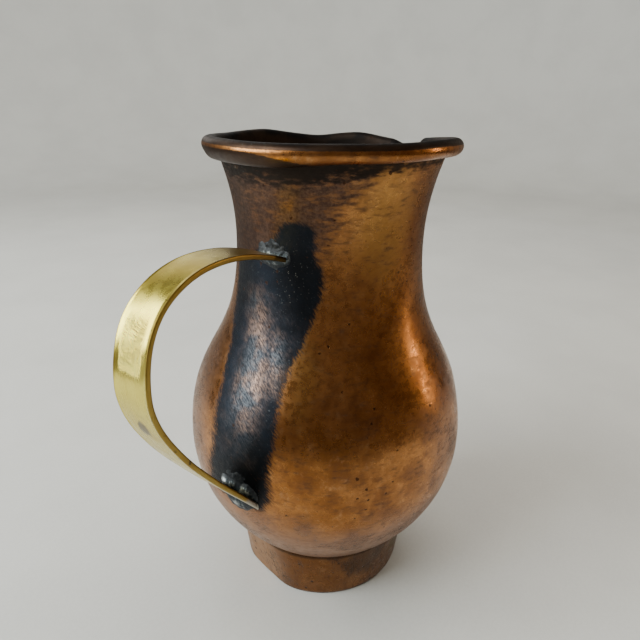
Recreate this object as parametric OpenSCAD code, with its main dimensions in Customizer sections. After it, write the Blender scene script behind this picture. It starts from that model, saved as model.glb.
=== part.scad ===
// Hand-made copper jug with a brass strap handle, standing on a copper foot ring.
// All sizes are in millimetres. The origin is the centre of the foot ring on the table,
// +Z points up and the handle reaches out along -X.

/* [Body] */
// Thickness of the copper sheet that the body is raised from
sheet_t = 0.9; // [0.7:0.05:1.2]
// Diameter of the flat base, inside the foot ring
base_d = 36; // [28:1:44]
// Height of the flat base above the table
base_z = 10; // [8:0.5:13]
// Diameter of the belly at its widest
belly_d = 85.6; // [71:0.2:103]
// Height from the flat base up to the widest part of the belly
bowl_h = 40.4; // [33:0.2:49]
// Height from the widest part of the belly up to the narrowest part of the neck
shoulder_h = 62; // [51:0.5:75]
// Diameter of the neck at its narrowest
neck_d = 53.2; // [44:0.2:64]
// Height from the narrowest part of the neck up to the top of the rim
throat_h = 27.6; // [23:0.2:34]

/* [Rolled rim] */
// Diameter across the outside of the rolled rim
rim_d = 69; // [66:0.5:83]
// Diameter of the wire that the edge of the sheet is rolled over
wire_d = 2.2; // [1.8:0.1:2.8]
// Lean of the wall from the vertical where it meets the wire, in degrees
flare_a = 22; // [16:1:32]
// Gap between the rolled edge of the sheet and the wall that it turns back to
curl_gap = 0.15; // [0.1:0.05:0.3]

/* [Curves of the body] */
// How full the belly is below its widest part
bowl_pull = 24.6; // [18:0.2:28]
// How full the belly is above its widest part
belly_pull = 30.3; // [22:0.1:36]
// How long the neck stays narrow below its narrowest part
neck_pull = 34.3; // [24:0.1:40]
// How long the neck stays narrow above its narrowest part
throat_pull = 6; // [3:0.5:9]
// How long the throat runs straight below the rim
flare_pull = 11; // [7:0.5:13]

/* [Foot ring] */
// Outer diameter of the foot ring on the table
foot_d = 53; // [44:0.5:60]
// How much wider the foot ring is at the height of the flat base than on the table
foot_spread = 1.4; // [0:0.1:3]
// Thickness of the band that the foot ring is bent from
foot_t = 1.2; // [0.9:0.1:1.6]
// Width of the solder fillet inside the top of the foot ring
foot_fillet = 3; // [2.5:0.1:4]

/* [Handle] */
// Thickness of the brass strap
strap_t = 1.3; // [1:0.1:1.8]
// Width of the strap at its upper end
strap_w_top = 9.4; // [7:0.1:12]
// Width of the strap at its lower end
strap_w_bottom = 12.6; // [10:0.1:16]
// Room for fingers between the widest part of the belly and the grip
finger_room = 28; // [23:0.5:34]
// Height of the upper joint below the narrowest part of the neck
upper_joint_drop = 1; // [0:0.5:8]
// Height of the lower joint below the widest part of the belly
lower_joint_drop = 3; // [0:0.2:8]
// Height of the furthest part of the grip below the upper joint
grip_drop = 17; // [14:0.5:21]
// Rise of the strap where it leaves the neck, in degrees
upper_rise_a = 20.7; // [5:0.1:30]
// Slope of the strap where it reaches the belly, in degrees
lower_slope_a = 53.3; // [45:0.1:65]
// How far the strap runs straight out from the neck
upper_pull = 32; // [22:0.5:38]
// How round the strap is above the grip
grip_pull_up = 19.6; // [14:0.2:24]
// How round the strap is below the grip
grip_pull_down = 14.5; // [10:0.5:18]
// How far the strap runs straight up from the belly
lower_pull = 13.4; // [8:0.2:18]

/* [Solder] */
// Thickness of the solder between two pieces that are joined
solder_gap = 0.3; // [0.1:0.05:0.4]
// Width of the solder round the upper end of the handle
upper_solder_d = 14; // [12.5:0.5:18]
// Height of that solder above the neck
upper_solder_h = 2.4; // [1.5:0.1:4]
// Width of the solder round the lower end of the handle
lower_solder_d = 19; // [16.5:0.5:24]
// Height of that solder above the belly
lower_solder_h = 4; // [3:0.1:6]
// Height of the lower solder's centre above the lower joint
lower_solder_rise = 3; // [2:0.2:5]

/* [Hidden] */
$fn = 96;

// straight pieces that one curve of an outline is drawn with
body_steps = 14;
strap_steps = 16;
dome_steps = 9;

belly_r = belly_d / 2;
neck_r = neck_d / 2;
base_r = base_d / 2;
belly_z = base_z + bowl_h;
neck_z = belly_z + shoulder_h;
jug_h = neck_z + throat_h;

// the sheet turns up from the flat base over this length
base_turn = 2;

// the rolled rim: the wall touches the wire at wall_end, and runs towards it along flare_dir
wire_r = wire_d / 2;
bead_r = wire_r + sheet_t;
bead_centre = [rim_d / 2 - bead_r, jug_h - bead_r];
flare_dir = [sin(flare_a), cos(flare_a)];
flare_out = [cos(flare_a), -sin(flare_a)];
wall_end = bead_centre - wire_r * flare_out;

// A curve k holds four points: its start, the point it leaves towards, the point it arrives
// from, and its end.
function point_at(k, t) = pow(1 - t, 3) * k[0] + 3 * t * pow(1 - t, 2) * k[1]
    + 3 * t * t * (1 - t) * k[2] + pow(t, 3) * k[3];
function along(k, t) =
    let (v = pow(1 - t, 2) * (k[1] - k[0]) + 2 * t * (1 - t) * (k[2] - k[1])
        + t * t * (k[3] - k[2]))
    v / norm(v);
function left_of(k, t) = let (v = along(k, t)) [-v.y, v.x];
// the curve moved to its left by a distance, as points from number first to number steps
function side_curve(k, by, steps, first = 0) =
    [for (i = [first:steps]) point_at(k, i / steps) + by * left_of(k, i / steps)];
function reversed(list) = [for (i = [len(list) - 1:-1:0]) list[i]];

// the outside of the body, from the flat base up to the wire
bowl = [
    [base_r, base_z], [base_r + base_turn, base_z],
    [belly_r, belly_z - bowl_pull], [belly_r, belly_z]
];
shoulder = [
    [belly_r, belly_z], [belly_r, belly_z + belly_pull],
    [neck_r, neck_z - neck_pull], [neck_r, neck_z]
];
throat = [
    [neck_r, neck_z], [neck_r, neck_z + throat_pull],
    wall_end - flare_pull * flare_dir, wall_end
];

// the body's wall at a depth below its outer face, from the axis up to the wire
function wall_line(depth) = concat(
    [[0, base_z + depth]],
    side_curve(bowl, depth, body_steps),
    side_curve(shoulder, depth, body_steps, 1),
    side_curve(throat, depth, body_steps, 1)
);

// the outer radius of the body at a height
radius_table = [for (p = wall_line(0)) if (p.x > base_r) [p.y, p.x]];
function body_r(z) = lookup(z, radius_table);

// all that lies inside the body's outer face, and inside a gap around it
module body_space(gap = 0) {
    polygon(concat(wall_line(-gap), [[0, wall_end.y]]));
}

// the gap that the rolled edge leaves where it turns back to the wall
module curl_slit() {
    polygon([
        wall_end,
        wall_end - 2 * bead_r * flare_dir,
        wall_end - 2 * bead_r * flare_dir + curl_gap * flare_out,
        wall_end + curl_gap * flare_out
    ]);
}

module body() {
    color("#a5652f")
        rotate_extrude()
            difference() {
                union() {
                    polygon(concat(wall_line(0), reversed(wall_line(sheet_t))));
                    translate(bead_centre)
                        circle(r = bead_r);
                }
                translate(bead_centre)
                    circle(r = wire_r);
                curl_slit();
            }
}

module rim_wire() {
    color("#4a4643")
        rotate_extrude()
            translate(bead_centre)
                circle(r = wire_r);
}

// the foot ring's outer radius at a height, and where its inside meets the belly
function foot_r(z) = (foot_d + foot_spread * z / base_z) / 2;
foot_inner_r = foot_r(base_z) - foot_t;
foot_joint_z = lookup(foot_inner_r, [for (p = radius_table) if (p[0] < belly_z) [p[1], p[0]]]);

// the band of the foot ring before the belly cuts it, taller than the ring by a few thicknesses
foot_band_h = foot_joint_z + 4 * foot_t;
module foot_band() {
    polygon([
        [foot_r(0) - foot_t, 0],
        [foot_r(0), 0],
        [foot_r(foot_band_h), foot_band_h],
        [foot_r(foot_band_h) - foot_t, foot_band_h]
    ]);
}

module foot_outline() {
    difference() {
        foot_band();
        body_space(solder_gap);
    }
}

module foot_ring() {
    color("#95562a")
        rotate_extrude()
            foot_outline();
}

module foot_solder() {
    color("#8d8f8c")
        rotate_extrude()
            difference() {
                polygon([
                    [foot_inner_r - foot_fillet, foot_joint_z],
                    [foot_inner_r, foot_joint_z - foot_fillet],
                    [foot_inner_r + foot_t / 2, foot_joint_z - foot_fillet],
                    [foot_inner_r + foot_t / 2, foot_joint_z + foot_fillet]
                ]);
                foot_outline();
                body_space();
            }
}

// the middle of the strap, as distance from the axis and height: upper arm, then lower arm
upper_joint_z = neck_z - upper_joint_drop;
lower_joint_z = belly_z - lower_joint_drop;
grip = [belly_r + finger_room + strap_t / 2, upper_joint_z - grip_drop];
upper_start = [body_r(upper_joint_z), upper_joint_z];
lower_end = [body_r(lower_joint_z), lower_joint_z];
upper_arm = [
    upper_start, upper_start + upper_pull * [cos(upper_rise_a), sin(upper_rise_a)],
    grip + [0, grip_pull_up], grip
];
lower_arm = [
    grip, grip - [0, grip_pull_down],
    lower_end + lower_pull * [cos(lower_slope_a), sin(lower_slope_a)], lower_end
];

// the strap is left this much too long at each end, and cut to the shape of the body
strap_spare = 3;
function strap_line(by) = concat(
    [point_at(upper_arm, 0) + by * left_of(upper_arm, 0) - strap_spare * along(upper_arm, 0)],
    side_curve(upper_arm, by, strap_steps),
    side_curve(lower_arm, by, strap_steps, 1),
    [point_at(lower_arm, 1) + by * left_of(lower_arm, 1) + strap_spare * along(lower_arm, 1)]
);
function strap_w(z) = strap_w_bottom
    + (strap_w_top - strap_w_bottom) * (z - lower_joint_z) / (upper_joint_z - lower_joint_z);

// the strap seen from its side, and seen from outside along the X axis
module strap_side() {
    polygon(concat(strap_line(strap_t / 2), reversed(strap_line(-strap_t / 2))));
}

module strap_front() {
    polygon([
        [-strap_w(0) / 2, 0],
        [strap_w(0) / 2, 0],
        [strap_w(jug_h) / 2, jug_h],
        [-strap_w(jug_h) / 2, jug_h]
    ]);
}

module strap() {
    reach = grip.x + strap_spare;
    difference() {
        intersection() {
            mirror([1, 0, 0])
                rotate([90, 0, 0])
                    linear_extrude(height = 2 * strap_w_bottom, center = true)
                        strap_side();
            translate([-reach, 0, 0])
                rotate([90, 0, 90])
                    linear_extrude(height = reach)
                        strap_front();
        }
        rotate_extrude()
            body_space(solder_gap);
    }
}

module handle() {
    color("#b9983f")
        strap();
}

// a low mound of solder on the body, round the strap, at a height on the handle's side
module solder_mound(z, d, h) {
    difference() {
        translate([-body_r(z), 0, z])
            rotate([0, -90, 0])
                rotate_extrude()
                    polygon(concat(
                        [[0, -d / 2], [d / 2, -d / 2]],
                        [for (i = [0:dome_steps]) let (a = 90 * i / dome_steps)
                            [d / 2 * cos(a), h * sin(a)]]
                    ));
        strap();
        rotate_extrude()
            body_space();
    }
}

module upper_solder() {
    color("#9aa09c")
        solder_mound(upper_joint_z, upper_solder_d, upper_solder_h);
}

module lower_solder() {
    color("#9aa09c")
        solder_mound(lower_joint_z + lower_solder_rise, lower_solder_d, lower_solder_h);
}

body();
rim_wire();
foot_ring();
foot_solder();
handle();
upper_solder();
lower_solder();
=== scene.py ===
"""Shows a hand-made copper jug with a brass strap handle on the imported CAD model.

The CAD model gives every place and overall size. This file adds what the hand made: the wavy
rolled rim, the dents, the lumps of solder, and the finish of every piece. A turn is an angle
about the jug's axis in degrees, 0 at the handle, and it grows counterclockwise seen from above.
Lengths are metres unless a name ends in _mm or _MM, or a comment says millimetres.
"""

import math

import bpy
import numpy as np
from bpy.props import FloatProperty, FloatVectorProperty, PointerProperty
from bpy.types import Operator, Panel, PropertyGroup
from mathutils import Matrix, Vector, noise


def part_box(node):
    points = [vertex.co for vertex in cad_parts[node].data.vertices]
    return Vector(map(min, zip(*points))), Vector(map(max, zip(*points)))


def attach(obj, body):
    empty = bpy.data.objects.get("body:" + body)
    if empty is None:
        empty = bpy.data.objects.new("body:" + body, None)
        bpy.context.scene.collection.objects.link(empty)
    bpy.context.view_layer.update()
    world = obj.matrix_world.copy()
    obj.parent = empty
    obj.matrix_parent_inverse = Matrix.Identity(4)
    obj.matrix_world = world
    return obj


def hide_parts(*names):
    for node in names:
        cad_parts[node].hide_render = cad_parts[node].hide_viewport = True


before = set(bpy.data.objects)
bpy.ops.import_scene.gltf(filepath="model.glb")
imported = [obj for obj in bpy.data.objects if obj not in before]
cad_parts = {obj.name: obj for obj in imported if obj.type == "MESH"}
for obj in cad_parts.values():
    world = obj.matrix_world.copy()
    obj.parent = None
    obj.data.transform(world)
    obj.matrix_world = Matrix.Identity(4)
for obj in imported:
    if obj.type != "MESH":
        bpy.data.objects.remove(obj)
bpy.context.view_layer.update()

bl_info = {
    "name": "Copper Jug",
    "version": (1, 0, 0),
    "blender": (4, 5, 0),
    "location": "3D View > Sidebar > Copper Jug",
    "description": "Builds a hand-made copper jug with a brass strap handle",
    "category": "Add Mesh",
}

BODY_LOW, BODY_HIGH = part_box("body")
FOOT_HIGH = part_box("foot_ring")[1]
WIRE_LOW, WIRE_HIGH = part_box("rim_wire")
STRAP_LOW, STRAP_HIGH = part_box("handle")
MM = 0.001
ROOT = "root"


# ---------------------------------------------------------------- sizes and colours

class JugShape(PropertyGroup):
    """Sizes of the raised body and its rolled rim."""

    height: FloatProperty(
        name="Height", description="Height of the top of the rim above the table",
        default=BODY_HIGH[2], min=0.1, max=0.2, unit="LENGTH")
    belly_radius: FloatProperty(
        name="Belly radius", description="Radius of the belly at its widest",
        default=BODY_HIGH[0], min=0.03, max=0.06, unit="LENGTH")
    belly_height: FloatProperty(
        name="Belly height", description="Height of the widest part of the belly",
        default=0.0504, min=0.04, max=0.06, unit="LENGTH")
    neck_radius: FloatProperty(
        name="Neck radius", description="Radius of the neck at its narrowest",
        default=0.0266, min=0.02, max=0.035, unit="LENGTH")
    neck_height: FloatProperty(
        name="Neck height", description="Height of the narrowest part of the neck",
        default=0.1124, min=0.09, max=0.13, unit="LENGTH")
    base_radius: FloatProperty(
        name="Base radius", description="Radius of the flat base inside the foot ring",
        default=0.018, min=0.012, max=0.022, unit="LENGTH")
    base_height: FloatProperty(
        name="Base height", description="Height of the flat base above the table",
        default=BODY_LOW[2], min=0.006, max=0.014, unit="LENGTH")
    sheet: FloatProperty(
        name="Sheet", description="Thickness of the copper sheet",
        default=0.0009, min=0.0006, max=0.0014, unit="LENGTH")
    wire_radius: FloatProperty(
        name="Wire radius", description="Radius of the wire inside the rolled rim",
        default=(WIRE_HIGH[2] - WIRE_LOW[2]) / 2, min=0.0008, max=0.0016, unit="LENGTH")
    rim_radius: FloatProperty(
        name="Rim radius", description="Radius of the jug across the outside of the rolled rim",
        default=0.0345, min=0.03, max=0.042, unit="LENGTH")
    rim_wave: FloatProperty(
        name="Rim wave", description="How strongly the rim waves up and down",
        default=1.0, min=0.0, max=1.5, subtype="FACTOR")
    unevenness: FloatProperty(
        name="Unevenness", description="How far the hand-raised wall strays from round",
        default=0.00012, min=0.0, max=0.0006, unit="LENGTH")


class FootShape(PropertyGroup):
    """Sizes of the copper foot ring."""

    radius: FloatProperty(
        name="Radius", description="Outer radius of the foot ring on the table",
        default=0.0265, min=0.02, max=0.032, unit="LENGTH")
    spread: FloatProperty(
        name="Spread", description="How much the radius grows from the table to its top",
        default=FOOT_HIGH[0] - 0.0265, min=0.0, max=0.003, unit="LENGTH")
    thickness: FloatProperty(
        name="Thickness", description="Thickness of the copper band",
        default=0.0012, min=0.0008, max=0.002, unit="LENGTH")
    flat_depth: FloatProperty(
        name="Flat", description="How far the ring is pushed in on the side below the handle",
        default=0.0011, min=0.0, max=0.004, unit="LENGTH")


class StrapShape(PropertyGroup):
    """Sizes of the brass strap."""

    thickness: FloatProperty(
        name="Thickness", description="Thickness of the strap",
        default=0.0013, min=0.001, max=0.002, unit="LENGTH")
    top_width: FloatProperty(
        name="Top width", description="Width of the strap at the neck",
        default=0.0094, min=0.007, max=0.012, unit="LENGTH")
    bottom_width: FloatProperty(
        name="Bottom width", description="Width of the strap at the belly",
        default=STRAP_HIGH[1] - STRAP_LOW[1], min=0.01, max=0.016, unit="LENGTH")
    reach: FloatProperty(
        name="Reach", description="Distance from the axis to the outside of the grip",
        default=-STRAP_LOW[0], min=0.06, max=0.08, unit="LENGTH")
    grip_height: FloatProperty(
        name="Grip height", description="Height of the furthest part of the grip",
        default=0.0944, min=0.08, max=0.11, unit="LENGTH")
    upper_joint: FloatProperty(
        name="Upper joint", description="Height of the joint with the neck",
        default=0.1114, min=0.1, max=0.12, unit="LENGTH")
    lower_joint: FloatProperty(
        name="Lower joint", description="Height of the joint with the belly",
        default=0.0474, min=0.04, max=0.055, unit="LENGTH")


class JugColours(PropertyGroup):
    """Colours of the metals and the floor."""

    copper: FloatVectorProperty(
        name="Copper", description="Copper where it is rubbed bright",
        default=(0.50, 0.225, 0.075), min=0, max=1, subtype="COLOR")
    deep_copper: FloatVectorProperty(
        name="Deep copper", description="Copper with an even brown bloom",
        default=(0.27, 0.105, 0.026), min=0, max=1, subtype="COLOR")
    tarnish: FloatVectorProperty(
        name="Tarnish", description="Purple-brown tarnish on the neck",
        default=(0.048, 0.031, 0.027), min=0, max=1, subtype="COLOR")
    soot: FloatVectorProperty(
        name="Soot", description="Blue-black heat scale behind the handle",
        default=(0.008, 0.010, 0.014), min=0, max=1, subtype="COLOR")
    brass: FloatVectorProperty(
        name="Brass", description="Brass of the strap",
        default=(0.71, 0.60, 0.115), min=0, max=1, subtype="COLOR")
    solder: FloatVectorProperty(
        name="Solder", description="Soft solder at the joints",
        default=(0.34, 0.37, 0.365), min=0, max=1, subtype="COLOR")
    floor: FloatVectorProperty(
        name="Floor", description="Pale floor under the jug",
        default=(0.56, 0.565, 0.55), min=0, max=1, subtype="COLOR")


# ---------------------------------------------------------------- curves

def bezier(k, t):
    """Points on the curve k of four points, at the steps t from 0 to 1."""
    k = np.asarray(k, float)
    t = np.asarray(t, float)[:, None]
    return (1 - t)**3 * k[0] + 3 * t * (1 - t)**2 * k[1] + 3 * t**2 * (1 - t) * k[2] + t**3 * k[3]


def left_of(points):
    """Unit directions to the left of a line of points."""
    along = np.gradient(points, axis=0)
    along /= np.linalg.norm(along, axis=1)[:, None]
    return np.stack([-along[:, 1], along[:, 0]], axis=1)


def smooth(low, high, value):
    """A smooth step from 0 at low to 1 at high."""
    t = np.clip((np.asarray(value, float) - low) / (high - low), 0, 1)
    return t * t * (3 - 2 * t)


def turn_apart(turn, centre):
    """The signed angle from a turn to another, between -180 and 180 degrees."""
    return (np.asarray(turn, float) - centre + 180) % 360 - 180


def around(turn, radius, height):
    """The place at a turn, a distance from the axis and a height."""
    angle = math.radians(turn)
    return Vector((-radius * math.cos(angle), -radius * math.sin(angle), height))


# ---------------------------------------------------------------- the raised body

# pulls of the outline's curves, as the maker shaped them
BOWL_PULL_MM, BELLY_PULL_MM, NECK_PULL_MM = 24.6, 30.3, 34.3
THROAT_PULL_MM, FLARE_PULL_MM, BASE_TURN_MM = 6.0, 11.0, 2.0
FLARE_ANGLE = math.radians(22)

# the hand-rolled rim dips: turn, drop in millimetres
RIM_DROPS = [
    (0, 0.9), (35, 0.5), (60, 0.45), (83, 0.25), (100, 0.6), (125, 1.3), (150, 2.6), (165, 3.8),
    (174, 4.3), (184, 3.7), (196, 2.6), (208, 3.2), (220, 4.15), (235, 3.2), (252, 1.8), (268, 2.0),
    (281, 2.2), (297, 1.8), (320, 1.2), (340, 0.95), (360, 0.9)]
# the dips are eased over this half width in degrees
RIM_EASE = 9
# the curl's lap makes a nick: it drops between these turns, and is level again at the last
NICK_TURNS, NICK_MM = (154.6, 156.2, 166.0, 178.0), 1.7

# dents in the wall: turn, height mm, radius mm, depth mm
DENTS = [(37, 77, 2.2, 0.28), (118, 62, 7, 0.5), (205, 84, 5, 0.4), (285, 48, 8, 0.6), (62, 36, 6, 0.25)]


def bead_centre(shape):
    """Distance from the axis and height of the middle of the rim wire."""
    bead = shape.wire_radius + shape.sheet
    return np.array([shape.rim_radius - bead, shape.height - bead])


def wall_outline(shape):
    """The outer face of the wall, from the edge of the flat base up to the wire."""
    wire_side = shape.wire_radius * np.array([math.cos(FLARE_ANGLE), -math.sin(FLARE_ANGLE)])
    end = bead_centre(shape) - wire_side
    flare = FLARE_PULL_MM * MM * np.array([math.sin(FLARE_ANGLE), math.cos(FLARE_ANGLE)])
    base, belly = shape.base_radius, shape.belly_radius
    neck, low, mid, high = shape.neck_radius, shape.base_height, shape.belly_height, shape.neck_height
    bowl = [(base, low), (base + BASE_TURN_MM * MM, low), (belly, mid - BOWL_PULL_MM * MM), (belly, mid)]
    shoulder = [(belly, mid), (belly, mid + BELLY_PULL_MM * MM),
                (neck, high - NECK_PULL_MM * MM), (neck, high)]
    throat = [(neck, high), (neck, high + THROAT_PULL_MM * MM), tuple(end - flare), tuple(end)]
    parts = [bezier(bowl, np.linspace(0, 1, 52)), bezier(shoulder, np.linspace(0, 1, 64))[1:],
             bezier(throat, np.linspace(0, 1, 34))[1:]]
    return np.concatenate(parts)


def wall_radius(shape):
    """A function that gives the wall's outer radius at a height."""
    outline = wall_outline(shape)
    return lambda height: float(np.interp(height, outline[:, 1], outline[:, 0]))


def rim_lift(turn, shape):
    """How far the rim rises above its even height at turns, in metres. It is never above it."""
    places, drops = np.array(RIM_DROPS).T
    turn = np.asarray(turn, float) % 360
    steps = np.arange(-RIM_EASE, RIM_EASE + 1)
    weights = np.hanning(len(steps) + 2)[1:-1]
    dip = sum(w * np.interp((turn + step) % 360, places, drops) for w, step in zip(weights, steps))
    dip = dip / weights.sum()
    first, second, third, last = NICK_TURNS
    nick = smooth(first, second, turn) * (1 - smooth(third, last, turn))
    return -(dip + NICK_MM * nick) * MM * shape.rim_wave


def body_shift(turn, height, shape):
    """How far the wall stands out from its true round at turns and heights, in metres."""
    out = 0.0002 * np.cos(np.radians(2 * turn - 40)) * smooth(0.02, 0.05, height)
    for centre, middle, size, depth in DENTS:
        across = np.radians(turn_apart(turn, centre)) * shape.belly_radius
        away = np.hypot(across, height - middle * MM) / (size * MM)
        out = out - depth * MM * np.exp(-away**2)
    return out


def hammered(points, size):
    """Soft uneven swellings of a hammered sheet at points, from about -1 to 1."""
    return np.array([noise.noise(Vector(p) / size) for p in points])


# the sheet is this far off the wire, and its edge stops at this angle under the wire
CURL_ROOM = 0.00002
CURL_END = -math.radians(134)
CURL_STEPS = 34
BODY_COLUMNS = 360


def body_section(shape):
    """The wall's section from the axis under the base to the axis inside, and what each point is.

    The second value is 0 on the outer face, 1 on the rolled edge and 2 inside. The third is the
    angle about the wire in degrees, 0 outwards and 90 up, for the points of the rolled edge."""
    outline = wall_outline(shape)
    middle = bead_centre(shape)
    inner_circle = shape.wire_radius + CURL_ROOM
    outer_circle = shape.wire_radius + shape.sheet
    under = np.linspace(math.pi - FLARE_ANGLE, CURL_END, CURL_STEPS)
    back = under[::-1]
    curl_in = middle + inner_circle * np.stack([np.cos(under), np.sin(under)], axis=1)
    curl_out = middle + outer_circle * np.stack([np.cos(back), np.sin(back)], axis=1)
    inside = (outline + shape.sheet * left_of(outline))[::-1]
    base = shape.base_height
    outer_axis = np.linspace(0, shape.base_radius, 8)[:-1]
    floor = np.stack([outer_axis, np.full_like(outer_axis, base)], axis=1)
    inner_floor = np.stack([outer_axis[::-1], np.full_like(outer_axis, base + shape.sheet)], axis=1)
    parts = [floor, outline[:-1], curl_in, curl_out[:-1], inside[1:], inner_floor]
    kinds = [0, 0, 1, 1, 2, 2]
    kind = np.concatenate([np.full(len(part), k) for part, k in zip(parts, kinds)])
    points = np.concatenate(parts)
    about_wire = np.degrees(np.arctan2(points[:, 1] - middle[1], points[:, 0] - middle[0]))
    return points, kind, about_wire


def revolve(section, columns):
    """Heights, turns and distances from the axis of a section carried round, one row per point."""
    turn = np.linspace(0, 360, columns, endpoint=False)
    height = np.repeat(section[:, 1][:, None], columns, axis=1)
    radius = np.repeat(section[:, 0][:, None], columns, axis=1)
    return height, np.repeat(turn[None, :], len(section), axis=0), radius


def ring_points(height, turn, radius):
    """Points in space from rows of heights, turns and distances from the axis."""
    angle = np.radians(turn)
    return np.stack([-radius * np.cos(angle), -radius * np.sin(angle), height], axis=2).reshape(-1, 3)


def grid_faces(rows, columns, join_rows=False, join_columns=True):
    """Four-sided faces over a grid of points, joined end to end where asked."""
    row = np.arange(rows if join_rows else rows - 1)
    column = np.arange(columns if join_columns else columns - 1)
    r, c = np.meshgrid(row, column, indexing="ij")
    r2, c2 = (r + 1) % rows, (c + 1) % columns
    corners = [r * columns + c, r2 * columns + c, r2 * columns + c2, r * columns + c2]
    return np.stack(corners, axis=2).reshape(-1, 4).tolist()


def make_piece(name, points, faces, material, masks=None):
    """A smooth mesh object, with a value per point for each mask."""
    mesh = bpy.data.meshes.new(name)
    mesh.from_pydata([tuple(p) for p in np.asarray(points, float).tolist()], [], faces)
    mesh.validate()
    mesh.shade_smooth()
    for label, values in (masks or {}).items():
        layer = mesh.attributes.new(label, "FLOAT", "POINT")
        layer.data.foreach_set("value", np.asarray(values, np.float32).ravel())
    mesh.materials.append(material)
    piece = bpy.data.objects.new(name, mesh)
    bpy.context.scene.collection.objects.link(piece)
    return piece


def hand_over(piece, node):
    """Puts a piece in place of its CAD node."""
    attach(piece, ROOT)
    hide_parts(node)


# the curl reaches down the wall by this much, most at the angle about the wire
LAP_REACH_MM, LAP_ANGLE, LAP_SPREAD = 1.35, -92.0, 44.0


def lap_down(height, turn, radius, kinds, about):
    """Draws the curl's edge down along the wall, mostly on the handle's left side."""
    side = turn_apart(turn, 0)
    amount = 0.16 + 0.84 * (1 - smooth(5, 40, side)) * smooth(-150, -90, side)
    reach = LAP_REACH_MM * MM * amount * np.exp(-((about - LAP_ANGLE) / LAP_SPREAD)**2) * (kinds == 1)
    angle = np.radians(LAP_ANGLE)
    return height + reach * math.sin(angle), radius + reach * math.cos(angle)


# the edges of the heat scale behind the handle: height mm, turn on the left, turn on the right
SCALE_EDGES = [
    (44, -16, 8), (49, -17.4, 13), (62, -15, 13.7), (75, -18.5, 14.2), (85, -25, 16.5), (95, -34, 24.3),
    (102, -36, 29), (106, -35, 30.5), (109, -33, 30), (112, -14, 25.5), (114, -1, 25), (117, 3, 25),
    (119, 4.5, 25), (121.5, 9, 21)]


def soft_patch(side, height, turn, reach, level, rise):
    """A soft round patch about a turn and a level, with its reach to the side and its rise."""
    return np.exp(-((side - turn) / reach)**2 - ((height - level) / rise)**2)


def paint_body(height, turn, kind, about_wire):
    """Masks of the finish of the wall at heights in millimetres and turns."""
    side = turn_apart(turn, 0)
    levels, left, right = np.array(SCALE_EDGES).T
    inside_left = smooth(-6, 6, side - np.interp(height, levels, left))
    inside_right = smooth(-4.5, 4.5, np.interp(height, levels, right) - side)
    ends = smooth(43.5, 46.5, height) * (1 - smooth(119.5, 122.5, height))
    scale = inside_left * inside_right * ends
    middle = np.interp(height, [60, 75, 90, 105], [2, -1, -5, -13])
    worn = soft_patch(side, height, middle, 10, 82, 19)
    worn = np.maximum(worn, 0.75 * soft_patch(side, height, middle + 12, 5, 85, 8))
    black = soft_patch(side, height, 15, 12, 110, 11)
    black = np.maximum(black, 1 - smooth(50, 62, height))
    splashed = soft_patch(side, height, 12, 10, 106, 7)
    splashed += 0.7 * soft_patch(side, height, 3, 10, 49, 4)
    front = smooth(-150, -95, side) * (1 - smooth(22, 62, side + 0.9 * (126 - height)))
    tarnish = smooth(96, 112, height) * front
    tarnish = np.maximum(tarnish, 0.55 * smooth(104, 124, height) * smooth(95, 150, np.abs(side)))
    # pale pinkish tan: partly worn copper, partly a painted reflection of the pale floor low on the belly and
    # of the room's light on its sides
    tan = (1 - smooth(34, 58, height + 7 * np.sin(np.radians(side)))) * 0.9
    tan = np.maximum(tan, soft_patch(side, height, -40, 22, 66, 30))
    tan = np.maximum(tan, 0.8 * soft_patch(side, height, 88, 17, 58, 17))
    # painted warm reflections: on the neck's right side, a streak on the belly beside the handle and at the
    # back
    golden_reflection = soft_patch(side, height, 64, 20, 121, 17)
    golden_reflection = np.maximum(golden_reflection, 0.6 * soft_patch(side, height, 22, 7, 82, 14))
    golden_reflection = np.maximum(golden_reflection, 0.5 * soft_patch(side, height, 170, 45, 108, 25))
    # the wall just under the curl is painted dark: partly grime, partly painted shade in the crease under the
    # rim
    low = 127.5 + 4.5 * smooth(20, 60, side) * (1 - smooth(130, 175, side))
    grime_and_shade = smooth(low, np.minimum(low + 6, 134.5), height) * (0.70 + 0.30 * np.exp(-((side - 12) / 50)**2))
    on_wall = kind == 0
    # the curl is rubbed bright on its outer face, on a narrow crest at the left
    crest = smooth(-5, 42, side) * (1 - smooth(100, 150, side))
    low_edge = 2 - 96 * crest
    rubbed = smooth(low_edge - 10, low_edge + 4, about_wire) * (1 - smooth(8, 28, about_wire))
    inner = np.maximum(kind == 2, (kind == 1) * smooth(40, 78, about_wire) * (about_wire < 170))
    verdigris = np.exp(-((side + 6) / 13)**2) * (kind == 1) * smooth(30, 60, about_wire)
    verdigris += 0.8 * soft_patch(side, height, -28, 16, 133.5, 1.6) * on_wall
    rubbed = rubbed * (0.25 + 0.75 * smooth(-75, -50, side) * (1 - smooth(105, 140, side))) * (kind == 1)
    masks = {"scale": scale * on_wall, "worn": worn, "tarnish": tarnish * on_wall, "tan": tan * on_wall,
             "golden_reflection": golden_reflection * on_wall, "grime_and_shade": grime_and_shade * on_wall, "inside": inner, "bead": kind == 1,
             "rubbed": rubbed, "verdigris": verdigris, "black": black, "splashed": splashed}
    return masks


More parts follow.
